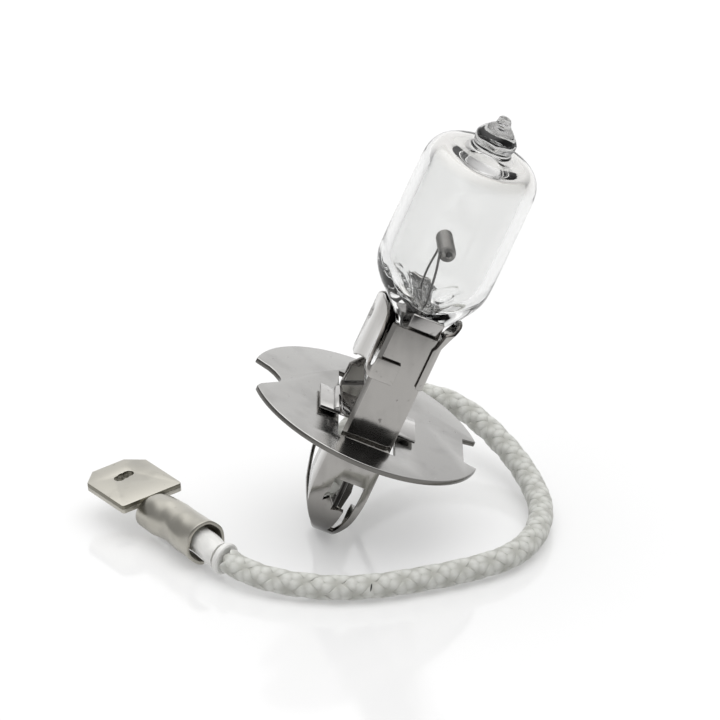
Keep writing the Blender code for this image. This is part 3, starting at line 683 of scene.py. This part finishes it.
def windCoil(s):
    clearSelection()
    bpy.ops.mesh.primitive_circle_add(vertices=8, radius=s["wire"] * mm, location=(s["radius"] * mm, 0, 0),
                                      rotation=(math.pi / 2, 0, 0))
    obj = justAdded("filamentCoil")
    bpy.ops.object.transform_apply(location=True, rotation=True, scale=True)
    m = obj.modifiers.new("wind", "SCREW")
    m.axis, m.angle, m.iterations = "Z", 2 * math.pi, s["turns"]
    m.screw_offset = s["length"] * mm / s["turns"]
    m.steps = m.render_steps = s["steps"]
    settle(obj)
    openMesh(obj)
    bpy.ops.mesh.select_all(action="DESELECT")
    bpy.ops.mesh.select_mode(type="EDGE")
    bpy.ops.mesh.select_non_manifold()
    bpy.ops.mesh.edge_face_add()
    closeMesh()
    for v in obj.data.vertices:  # the last turns close in
        t = abs(2 * v.co.z / (s["length"] * mm) - 1)
        if t > s["endFrom"]:
            tight = 1 - s["endShrink"] * min(1.0, (t - s["endFrom"]) / (1 - s["endFrom"])) ** 2
            v.co.x, v.co.y = v.co.x * tight, v.co.y * tight
    fixNormals(obj)
    smooth(obj, 60)
    turn = Matrix.Rotation(math.radians(s["yaw"]), 4, "Z") @ Matrix.Rotation(-math.pi / 2, 4, "X")
    put(obj, leaned @ Matrix.Translation((0, 0, s["height"] * mm)) @ turn
        @ Matrix.Translation((0, 0, -s["length"] * mm / 2)))
    return enter(obj, coilTungsten, "tungsten", "filament_coil")


windCoil(coilSettings)


def wireAlong(name, points, radius, matrix, finish, slot, *nodes, sides=8):  # points and radius in mm
    curve = bpy.data.curves.new(name, "CURVE")
    curve.dimensions = "3D"
    curve.bevel_depth = radius * mm
    curve.bevel_resolution = sides // 2 - 2
    curve.use_fill_caps = True
    line = curve.splines.new("POLY")
    route, _ = smoothRoute([Vector(p) * mm for p in points], 0.25 * mm)
    line.points.add(len(route) - 1)
    for spot, p in zip(line.points, route):
        spot.co = (*p, 1.0)
    obj = bpy.data.objects.new(name, curve)
    bpy.context.collection.objects.link(obj)
    takeUp(obj)
    bpy.ops.object.convert(target="MESH")
    obj = bpy.context.object
    fixNormals(obj)
    smooth(obj, 60)
    put(obj, matrix)
    return enter(obj, finish, slot, *nodes)


frontLead = [(0.0, -2.1, 9.9), (0.1, -2.1, 11.6), (0.15, -2.1, 12.8), (0.05, -2.1, 14.2), (-0.16, -2.1, 15.9),
             (-0.5, -2.08, 17.5), (-0.55, -2.03, 17.9)]
rearLead = [(0.0, 2.1, 9.9), (-0.1, 2.1, 11.6), (-0.24, 2.1, 13.9), (-0.2, 2.1, 15.2), (-0.13, 2.1, 16.3),
            (-0.3, 2.0, 17.3), (-0.5, 1.95, 17.7)]
wireAlong("innerLeadFront", frontLead, 0.11, leaned, leadMoly, "molybdenum", "inner_lead_front")
wireAlong("innerLeadRear", rearLead, 0.11, leaned, leadMoly, "molybdenum", "inner_lead_rear")
for node, finish in (("seal_foil_front", leadMoly), ("seal_foil_rear", leadMoly), ("outer_lead_live", leadMoly),
                     ("outer_lead_ground", leadMoly), ("lead_insulator", whiteSleeving),
                     ("splice_ferrule", tinPlate), ("wire_end_lamp", whiteSleeving)):
    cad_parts[node].data.materials.clear()
    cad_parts[node].data.materials.append(finish)


# flange, bracket and spring strips ---------------------------------

flat = leaned.to_3x3() @ Vector((0, 0, 1))
discCopy = fromNode("flange_disc", "flangeDisc", 0.07, 3)
markCut(discCopy, lambda face: abs(face.normal.dot(flat)) < 0.35)
disc = enter(discCopy, discNickel, "nickel_plated_steel", "flange_disc")
bracket = enter(fromNode("cross_bracket", "crossBracket", 0.05), stripNickel, "bright_strip", "cross_bracket")
tab = enter(fromNode("pinch_spring_front", "frontSpring", 0.06), stripNickel, "bright_strip", "pinch_spring_front")
tabRear = enter(fromNode("pinch_spring_rear", "rearSpring", 0.06), stripNickel, "bright_strip", "pinch_spring_rear")


# holder strap ------------------------------------------------------

strapSettings = {
    "face": 6.2, "thick": 0.4, "half": 2.3, "top": 11.4, "rearTop": 10.8, "loopHeight": -5.4, "loopSteps": 28,
    "loopDepth": 6.35, "columns": (-2.0, -1.2, -0.75, -0.3, 0.3, 0.9, 1.7),
    "rows": (-1.5, -1.9, -2.4, -4.3, -0.4, 3.0, 7.0), "rearNarrow": 0.56, "cheek": 5.0, "rightCheek": 2.6, "loopLeft": 2.8,
    "frontReach": [(0, 0.5, 1.3), (20, 0.4, 1.3), (30, 0.5, 1.34), (40, 0.9, 1.46), (50, 1.5, 1.68), (60, 2.0, 1.95),
                   (70, 2.5, 2.1), (80, 2.7, 2.2), (91, 2.8, 2.3)],
    "rearReach": [(0, 0.5, 1.3), (20, 1.0, 1.9), (45, 1.74, 2.6), (70, 2.2, 2.5), (91, 2.3, 2.3)],
}


def bendStrap(s):
    face, drop, half = s["face"], s["loopHeight"], s["half"]
    clearSelection()
    bpy.ops.mesh.primitive_plane_add(size=1.0 * mm, rotation=(math.pi / 2, 0, 0), location=(0, -face * mm, 0))
    obj = justAdded("holderStrap")
    bpy.ops.object.transform_apply(location=True, rotation=True, scale=True)
    openMesh(obj)
    bpy.ops.mesh.select_all(action="SELECT")
    swell(2 * half, 1, s["top"] - drop)
    shift(z=(s["top"] + drop) / 2)
    pick(obj, lambda x, y, z: z < drop + 0.01, "EDGE")
    bpy.ops.mesh.spin(steps=s["loopSteps"], angle=-math.pi, center=(0, 0, drop * mm), axis=(1, 0, 0))
    pick(obj, lambda x, y, z: y > face - 0.01 and abs(z - drop) < 0.01, "EDGE")
    for rise in (5.4, 1.4, 1.2):
        pull(z=rise)
    swell(s["rearNarrow"], 1, 1)
    pull(z=s["rearTop"] - drop - 8.0)
    for x in s["columns"]:
        bpy.ops.mesh.select_all(action="SELECT")
        bpy.ops.mesh.bisect(plane_co=(x * mm, 0, 0), plane_no=(1, 0, 0))
    for z in s["rows"]:
        bpy.ops.mesh.select_all(action="SELECT")
        bpy.ops.mesh.bisect(plane_co=(0, 0, z * mm), plane_no=(0, 0, 1))
    pick(obj, lambda x, y, z: y < -3.7 and -1.2 < x < 0.9 and (-6.8 if x < -0.3 else -7.5) < z < -4.3, "FACE")
    bpy.ops.mesh.delete(type="FACE")
    pick(obj, lambda x, y, z: y < -4.0 and 0.9 < x < 1.7 and z < -4.3, "FACE")
    bpy.ops.mesh.delete(type="FACE")
    pick(obj, lambda x, y, z: z < -2.4 and y > 4.6 and -2.0 < x < 1.7, "FACE")
    bpy.ops.mesh.delete(type="FACE")
    closeMesh()
    for v in obj.data.vertices:  # a torn edge under the window
        x, y, z = v.co / mm
        if y < -3.7 and -1.0 < x < -0.5 and -7.0 < z < -6.5:
            v.co.z += 0.42 * mm
        elif y < -3.7 and -0.4 < x < 0.1 and -7.0 < z < -6.5:
            v.co.z -= 0.25 * mm
        elif y < -3.7 and 0.2 < x < 1.0 and -7.7 < z < -7.2:
            v.co.z += 0.15 * mm
    for v in obj.data.vertices:  # the loop narrows towards its lowest point and hangs a little deep
        if v.co.z < drop * mm - 1e-7:
            angle = abs(math.degrees(math.atan2(v.co.y, drop * mm - v.co.z)))
            table = s["frontReach"] if v.co.y < 0 else s["rearReach"]
            for (a0, l0, r0), (a1, l1, r1) in zip(table, table[1:]):
                if a0 <= angle < a1:
                    f = (angle - a0) / (a1 - a0)
                    v.co.x *= (l0 + (l1 - l0) * f if v.co.x < 0 else r0 + (r1 - r0) * f) / half
            v.co.z = drop * mm + (v.co.z - drop * mm) * s["loopDepth"] / face
        elif v.co.z < -1.6 * mm and v.co.y < 0 and v.co.x < 0.01 * mm - half * mm:
            v.co.x = -s["loopLeft"] * mm
    pick(obj, lambda x, y, z: x < -2.45 and y < -5.5 and -8.2 < z < -1.6, "EDGE")
    bpy.ops.mesh.extrude_region_move(TRANSFORM_OT_translate={"value": (0, 0, 0)})
    closeMesh()
    for v in obj.data.vertices:  # the left edge is folded back to a cheek that ends above the bend
        if v.select:
            low = max(0.0, min(1.0, (v.co.z / mm + 8.2) / 1.3))
            v.co += Vector((0.05, s["cheek"] * low + 0.15, 0)) * mm
    pick(obj, lambda x, y, z: y < -4.3 and -9.4 < z < -2.3 and x > 2.29 - max(0.0, -5.4 - z) ** 2 * 0.05, "EDGE")
    bpy.ops.mesh.extrude_region_move(TRANSFORM_OT_translate={"value": (0, 0, 0)})
    closeMesh()
    for v in obj.data.vertices:  # the right edge has a lower cheek
        if v.select:
            low = max(0.0, min(1.0, (v.co.z / mm + 9.4) / 1.5))
            v.co += Vector((-0.04, s["rightCheek"] * low + 0.15, 0)) * mm
    for v in obj.data.vertices:  # the long edges are rolled back a little
        x, y, z = v.co / mm
        if y < -face + 0.01 and x > 2.2:
            v.co += Vector((0.0, 0.12, 0)) * mm
        if y < -face + 0.01 and x < -2.2 and z > -0.6:
            v.co += Vector((-0.08, 0.32, 0)) * mm
    addWall(obj, s["thick"])
    roundEdges(obj, 0.07, 2, 40)
    markCut(obj, lambda f: f.material_index == 1)
    smooth(obj, 35)
    put(obj, leaned)
    return enter(obj, nickel, "nickel_plated_steel", "holder_strap")


strap = bendStrap(strapSettings)


# clamp shell -------------------------------------------------------

shellSettings = {
    "thick": 0.3,
    "plan": [  # x, y, lower and upper edge of the sheet, in mm
        (-0.2, -6.62, 6.0, 8.1), (-1.2, -6.62, 6.0, 8.1), (-2.1, -6.62, 6.0, 8.1), (-2.35, -6.6, 6.0, 8.1),
        (-2.6, -6.5, 6.1, 7.2), (-2.85, -6.15, 6.3, 6.85), (-2.9, -5.6, 6.45, 6.95), (-2.85, -4.9, 6.5, 7.6),
        (-2.75, -4.1, 6.4, 8.9), (-2.65, -3.3, 6.1, 10.0), (-2.6, -2.5, 5.8, 10.6), (-2.68, -1.2, 5.4, 10.75),
        (-2.85, 0.1, 4.9, 10.75), (-2.95, 0.9, 4.6, 10.6), (-2.95, 1.8, 4.2, 10.5), (-2.9, 2.8, 3.7, 10.2),
        (-2.85, 4.5, 3.4, 9.4), (-2.75, 5.4, 3.4, 9.1), (-2.4, 6.2, 3.4, 9.0), (-1.8, 6.65, 3.4, 9.0), (-1.2, 6.8, 3.4, 9.0),
        (1.2, 6.8, 3.4, 9.0), (1.8, 6.65, 3.4, 9.0), (2.2, 6.2, 3.4, 9.0), (2.45, 5.4, 3.4, 9.0),
        (2.52, 4.5, 3.5, 9.2), (2.52, 2.8, 3.9, 10.3), (2.52, 0.5, 4.6, 10.6), (2.52, -1.6, 5.2, 10.8),
        (2.52, -3.6, 5.8, 11.1), (2.52, -3.8, 6.0, 12.3), (2.52, -4.1, 6.1, 13.0), (2.52, -4.6, 6.3, 13.3),
        (2.52, -5.2, 6.4, 13.3), (2.52, -5.7, 6.5, 13.2), (2.52, -6.0, 6.5, 12.9), (2.48, -6.25, 6.5, 12.5),
        (2.4, -6.45, 6.5, 12.2), (2.25, -6.56, 6.5, 11.6), (2.05, -6.6, 6.5, 10.9), (1.8, -6.6, 6.5, 10.5),
    ],
}


def foldShell(s):
    plan = s["plan"]
    x0, y0, low0, high0 = plan[0]
    clearSelection()
    bpy.ops.mesh.primitive_plane_add(size=2 * mm)
    obj = justAdded("clampShell")
    bm = openMesh(obj)
    pick(obj, lambda x, y, z: x > 0)
    bpy.ops.mesh.delete(type="VERT")
    bm = bmesh.from_edit_mesh(obj.data)
    bm.verts.ensure_lookup_table()
    for v, z in zip(bm.verts, (low0, high0)):
        v.co = Vector((x0, y0, z)) * mm
    bpy.ops.mesh.select_all(action="SELECT")
    for (xa, ya, la, ha), (xb, yb, lb, hb) in zip(plan, plan[1:]):
        bpy.ops.mesh.extrude_region_move(TRANSFORM_OT_translate={
            "value": ((xb - xa) * mm, (yb - ya) * mm, (lb + hb - la - ha) / 2 * mm)})
        swell(1, 1, (hb - lb) / (ha - la), (xb, yb, (lb + hb) / 2))
    for z in (6.6, 7.4, 8.4, 10.8, 11.8, 12.6):
        bpy.ops.mesh.select_all(action="SELECT")
        bpy.ops.mesh.bisect(plane_co=(0, 0, z * mm), plane_no=(0, 0, 1))
    closeMesh()
    for v in obj.data.vertices:
        x, y, z = v.co / mm
        if x > 0 and z > 10.9 and y > -6.4:
            v.co.x += 0.4 * (z - 10.9) * mm
        if x < -2.8 and y > 1.5:
            dent = math.exp(-((y - 4.4) / 0.9) ** 2 - ((z - 7.4) / 0.8) ** 2)
            v.co.x += 0.4 * dent * mm
    fixNormals(obj)
    side = [p for p in obj.data.polygons if p.center.x < -0.0028][0]
    if side.normal.x > 0:
        takeUp(obj)
        bpy.ops.object.mode_set(mode="EDIT")
        bpy.ops.mesh.select_all(action="SELECT")
        bpy.ops.mesh.flip_normals()
        closeMesh()
    addWall(obj, s["thick"])
    roundEdges(obj, 0.05, 2, 40)
    markCut(obj, lambda f: f.material_index == 1)
    smooth(obj, 35)
    put(obj, leaned)
    return enter(obj, nickel, "nickel_plated_steel", "clamp_shell")


shell = foldShell(shellSettings)


# terminal ----------------------------------------------------------

terminalSettings = {
    "tip": (-23.38, 4.9, -7.49), "heading": -55.8, "roll": 6.2, "width": 6.3, "length": 7.4, "leaf": 0.39,
    "thick": 0.8, "chamfer": 1.45, "drop": 1.5, "barrel": 1.95, "wall": 0.33, "mouth": 15.9,
}


def terminalPlace(s):
    h, r = math.radians(s["heading"]), math.radians(s["roll"])
    along = Vector((math.cos(h), math.sin(h), 0.0))
    across = Vector((0, 0, 1)).cross(along) * math.cos(r) + Vector((0, 0, 1)) * math.sin(r)
    place = Matrix((along, across, along.cross(across))).transposed().to_4x4()
    place.translation = Vector(s["tip"]) * mm
    return place


def latchHole(s):
    clearSelection()
    bpy.ops.mesh.primitive_cylinder_add(vertices=24, radius=0.52 * mm, depth=4 * mm,
                                        location=(2.55 * mm, 0.52 * mm, 0))
    hole = justAdded("latchHole")
    for x, y, radius in ((2.62, 0.0, 0.55), (2.75, -0.52, 0.52)):
        bpy.ops.mesh.primitive_cylinder_add(vertices=24, radius=radius * mm, depth=4.1 * mm,
                                            location=(x * mm, y * mm, 0))
        other = bpy.context.object
        takeUp(hole)
        m = hole.modifiers.new("pair", "BOOLEAN")
        m.object, m.operation, m.solver = other, "UNION", "EXACT"
        settle(hole)
        bpy.data.objects.remove(other, do_unlink=True)
    takeUp(hole)
    bpy.ops.object.transform_apply(location=True, rotation=True, scale=True)
    return hole


def bladeLeaf(s, high, name):
    w, n, c = s["width"] / 2, s["length"], s["chamfer"]
    clearSelection()
    bpy.ops.mesh.primitive_plane_add(size=mm, location=(n / 2 * mm, 0, high * mm))
    leaf = justAdded(name)
    bpy.ops.object.transform_apply(location=True, rotation=True, scale=True)
    openMesh(leaf)
    bpy.ops.mesh.select_all(action="SELECT")
    swell(n, 2 * w, 1, (n / 2, 0, high))
    pick(leaf, lambda x, y, z: x < 0.1)
    bpy.ops.mesh.bevel(offset=c * 1.0 * mm, affect="VERTICES", segments=1)
    pick(leaf, lambda x, y, z: x > n - 0.1)
    bpy.ops.mesh.bevel(offset=0.25 * mm, affect="VERTICES", segments=3)
    closeMesh()
    addWall(leaf, s["leaf"], -1.0)
    carve(leaf, latchHole(s))
    roundEdges(leaf, 0.1, 3, 50)
    # the lower leaf marks only its latch-hole walls, so the inside of the hole is darkened as painted shade
    markCut(leaf, lambda face: abs(face.normal.z) < 0.4 and (high == 0.0 or 1.8 < face.center.x / mm < 3.6
                                                             and abs(face.center.y) < 1.3 * mm))
    return leaf


def rollTerminal(s):
    top = bladeLeaf(s, 0.0, "spadeTerminal")
    under = bladeLeaf(s, -(s["thick"] - s["leaf"]), "underLeaf")
    n, ro = s["length"], s["barrel"]
    clearSelection()
    bpy.ops.mesh.primitive_plane_add(size=mm)
    barrel = justAdded("barrel")
    openMesh(barrel)
    pick(barrel, lambda x, y, z: y > 0)
    bpy.ops.mesh.delete(type="VERT")
    bm = bmesh.from_edit_mesh(barrel.data)
    seam = math.radians(11)
    start = Vector((0, ro * math.cos(-math.pi / 2 + seam), -s["drop"] + ro * math.sin(-math.pi / 2 + seam)))
    for v, x in zip(bm.verts, (n - 0.1, s["mouth"])):
        v.co = Vector((x, start.y, start.z)) * mm
    bpy.ops.mesh.select_all(action="SELECT")
    bpy.ops.mesh.spin(steps=40, angle=2 * seam - 2 * math.pi, center=(0, 0, -s["drop"] * mm), axis=(1, 0, 0))
    for x in (8.0, 8.6, 9.2, 9.8, 10.4, 11.0, 11.6, 12.2, 12.8, 13.4, 14.0, 14.6, 15.2, 15.7):
        bpy.ops.mesh.select_all(action="SELECT")
        bpy.ops.mesh.bisect(plane_co=(x * mm, 0, 0), plane_no=(1, 0, 0))
    closeMesh()
    for v in barrel.data.vertices:
        x, y, z = v.co / mm
        out = Vector((0, y, z + s["drop"]))
        squeeze = 0.16 * math.exp(-((x - 11.0) / 1.3) ** 2) * (0.5 - out.normalized().y)
        flare = 0.12 * max(0.0, (x - 15.0) / 0.9)
        dents = 0.12 * noise.noise(Vector((x * 0.9, y * 0.9, z * 0.9)) + Vector((5, 2, 8)))
        neck = 0.5 * max(0.0, 1.0 - (x - n) / 3.0) ** 1.5 * max(0.0, out.normalized().z) ** 0.7
        v.co += out.normalized() * (flare + dents - squeeze) * mm - Vector((0, 0, neck * mm))
    fixNormals(barrel)
    outward = sum(p.normal.dot(Vector((0, p.center.y, p.center.z + s["drop"] * mm))) for p in barrel.data.polygons)
    if outward < 0:
        takeUp(barrel)
        bpy.ops.object.mode_set(mode="EDIT")
        bpy.ops.mesh.select_all(action="SELECT")
        bpy.ops.mesh.flip_normals()
        closeMesh()
    addWall(barrel, s["wall"])
    roundEdges(barrel, 0.08, 2, 50)
    markCut(barrel, lambda face: False)
    clearSelection()
    for part in (under, barrel, top):
        part.select_set(True)
    bpy.context.view_layer.objects.active = top
    bpy.ops.object.join()
    smooth(top, 40)
    put(top, terminalPlace(s))
    return enter(top, tinPlate, "tinned_brass", "spade_terminal")


terminal = rollTerminal(terminalSettings)
collar = enter(fromNode("sleeve_collar", "sleeveCollar", 0.0), whiteSleeving, "woven_fibreglass", "sleeve_collar")
stub = enter(fromNode("wire_end_terminal", "wireStub", 0.0), whiteSleeving, "white_insulation", "wire_end_terminal")

([tuple(p) for p in leadPath[::8]] + [
            tuple(leadPath[-1])])


# studio ------------------------------------------------------------

studioSettings = {"floorSize": 3.0, "glow": 0.30, "white": 1.0, "dark": 0.02, "above": 1.3,
                  "darkAim": (0.25, -0.93, 0.27), "darkStops": [(0.70, 0.0), (0.90, 1.0)], "sideShade": 0.62}


def buildStudio(s):
    clearSelection()
    bpy.ops.mesh.primitive_plane_add(size=s["floorSize"], location=(0, 0, cadLow[2] - 0.02 * mm))
    floor = justAdded("studioFloor")
    bpy.ops.object.transform_apply(location=True, rotation=True, scale=True)
    floor.data.materials.append(paleFloor(s["glow"]))
    f = Finish("softRoom", world=True)
    look = f.node("ShaderNodeTexCoord")
    aim = f.node("ShaderNodeVectorMath", {"operation": "DOT_PRODUCT"},
                 {0: look, 1: Vector(s["darkAim"]).normalized()}, out=1)
    parts = f.node("ShaderNodeSeparateXYZ", {}, {"Vector": look})
    across, height = parts, f.term(parts, 2)
    sides = f.ramp(f.node("ShaderNodeMath", {"operation": "ABSOLUTE"}, {0: across}), [(0.32, 0.0), (0.75, 1.0)])
    dark = f.ramp(aim, s["darkStops"])
    level = (1.0 - sides * s["sideShade"]) * (1.0 - dark * (1.0 - s["dark"]))
    level = level + f.ramp(height, [(0.55, 0.0), (0.9, 1.0)]) * s["above"]
    f.wear(Color=f.blend(level * 0.4, (0.0, 0.0, 0.0), (1.0, 1.0, 1.0)), Strength=s["white"] * 2.5)
    bpy.context.scene.world = f.material


buildStudio(studioSettings)
print("studio lit")
